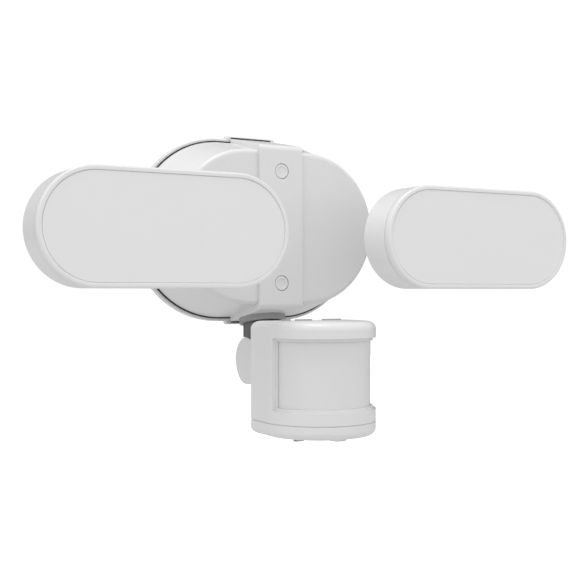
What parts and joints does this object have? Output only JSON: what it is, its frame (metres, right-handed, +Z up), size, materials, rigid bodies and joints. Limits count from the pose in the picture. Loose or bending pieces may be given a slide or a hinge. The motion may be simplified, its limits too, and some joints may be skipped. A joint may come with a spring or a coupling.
{
  "type": "twin-head wall floodlight with motion sensor",
  "caption": "Wall-mounted security floodlight: pill-shaped adjustable lamp heads on side arms and a swivelling passive infrared motion sensor under a stadium-shaped housing.",
  "frame": {"origin": "centre of the back plate on the wall plane, midway between the wall box screw holes", "axes": "+Z up, +Y into the wall, +X to the right as seen from in front of the lamp"},
  "size_m": [0.3692, 0.134, 0.2006],
  "materials": {
    "white_plastic": "satin, fine moulded grain",
    "white_paint": "satin powder coat",
    "white_casting": "satin white powder coat over cast aluminium",
    "black_rubber": "matte",
    "zinc_steel": "zinc plated",
    "ground_green": "satin green",
    "driver_case": "matte",
    "terminal_nylon": "satin",
    "frosted_diffuser": "frosted",
    "white_reflector": "gloss white",
    "led_board_white": "white solder mask",
    "led_phosphor": "satin",
    "window_film": "milky, fine ribs",
    "control_grey": "satin",
    "dark_lens": "clear dark",
    "circuit_green": "satin"
  },
  "bodies": {
    "fixture": {"back_plate": "white_paint", "wall_gasket": "black_rubber", "housing_gasket": "black_rubber", "crossbar": "zinc_steel", "ground_screw": "ground_green", "plate_screws": "zinc_steel", "cover_screws": "zinc_steel", "screw_caps": "white_plastic", "wire_grommet": "black_rubber", "cover": "white_plastic", "led_driver": "driver_case", "driver_screws": "zinc_steel", "terminal_block": "terminal_nylon", "sensor_collar": "control_grey"},
    "sensor_stem": {"stem": "white_plastic", "stem_o_ring": "black_rubber", "stem_nut": "zinc_steel", "tilt_bolt": "zinc_steel", "tilt_washer": "zinc_steel"},
    "sensor": {"sensor_arm": "white_plastic", "sensor_arm_screws": "zinc_steel", "sensor_housing": "white_plastic", "fresnel_lens": "window_film", "bottom_cap": "white_plastic", "cap_screws": "zinc_steel", "photocell": "dark_lens", "sensor_board": "circuit_green", "pir_element": "zinc_steel"},
    "range_knob": {"range_dial": "white_plastic"},
    "time_knob": {"time_switch": "control_grey"},
    "left_lamp_arm": {"left_arm": "white_casting", "left_arm_seal": "black_rubber", "left_arm_nut": "zinc_steel", "left_pivot_bolt": "zinc_steel", "left_pivot_nut": "zinc_steel"},
    "left_head": {"left_head_shell": "white_casting", "left_bezel": "white_plastic", "left_bezel_gasket": "black_rubber", "left_diffuser": "frosted_diffuser", "left_reflector": "white_reflector", "left_led_board": "led_board_white", "left_leds": "led_phosphor", "left_board_screws": "zinc_steel"},
    "right_lamp_arm": {"right_arm": "white_casting", "right_arm_seal": "black_rubber", "right_arm_nut": "zinc_steel", "right_pivot_bolt": "zinc_steel", "right_pivot_nut": "zinc_steel"},
    "right_head": {"right_head_shell": "white_casting", "right_bezel": "white_plastic", "right_bezel_gasket": "black_rubber", "right_diffuser": "frosted_diffuser", "right_reflector": "white_reflector", "right_led_board": "led_board_white", "right_leds": "led_phosphor", "right_board_screws": "zinc_steel"}
  },
  "joints": [
    {"name": "left_arm_tilt", "type": "hinge", "parent": "fixture", "child": "left_lamp_arm", "pos_m": [-0.078, -0.027, -0.002], "axis": [1, 0, 0], "range_deg": [-20, 30]},
    {"name": "left_head_pan", "type": "hinge", "parent": "left_lamp_arm", "child": "left_head", "pos_m": [-0.1099, -0.08, -0.0081], "axis": [0, 0, -1], "range_deg": [-15, 60]},
    {"name": "right_arm_tilt", "type": "hinge", "parent": "fixture", "child": "right_lamp_arm", "pos_m": [0.078, -0.027, -0.002], "axis": [1, 0, 0], "range_deg": [-20, 30]},
    {"name": "right_head_pan", "type": "hinge", "parent": "right_lamp_arm", "child": "right_head", "pos_m": [0.1099, -0.08, -0.0081], "axis": [0, 0, 1], "range_deg": [-15, 60]},
    {"name": "sensor_pan", "type": "hinge", "parent": "fixture", "child": "sensor_stem", "pos_m": [0, -0.022, -0.0632], "axis": [0, 0, 1], "range_deg": [-40, 40]},
    {"name": "sensor_tilt", "type": "hinge", "parent": "sensor_stem", "child": "sensor", "pos_m": [0, -0.022, -0.0905], "axis": [1, 0, 0], "range_deg": [-12, 30]},
    {"name": "range_dial_turn", "type": "hinge", "parent": "sensor", "child": "range_knob", "pos_m": [0.005, -0.113, -0.1318], "axis": [0, 0, -1], "range_deg": [-135, 135]},
    {"name": "time_switch_slide", "type": "slide", "parent": "sensor", "child": "time_knob", "axis": [1, 0, 0], "range_m": [-0.0022, 0.0022]}
  ]
}
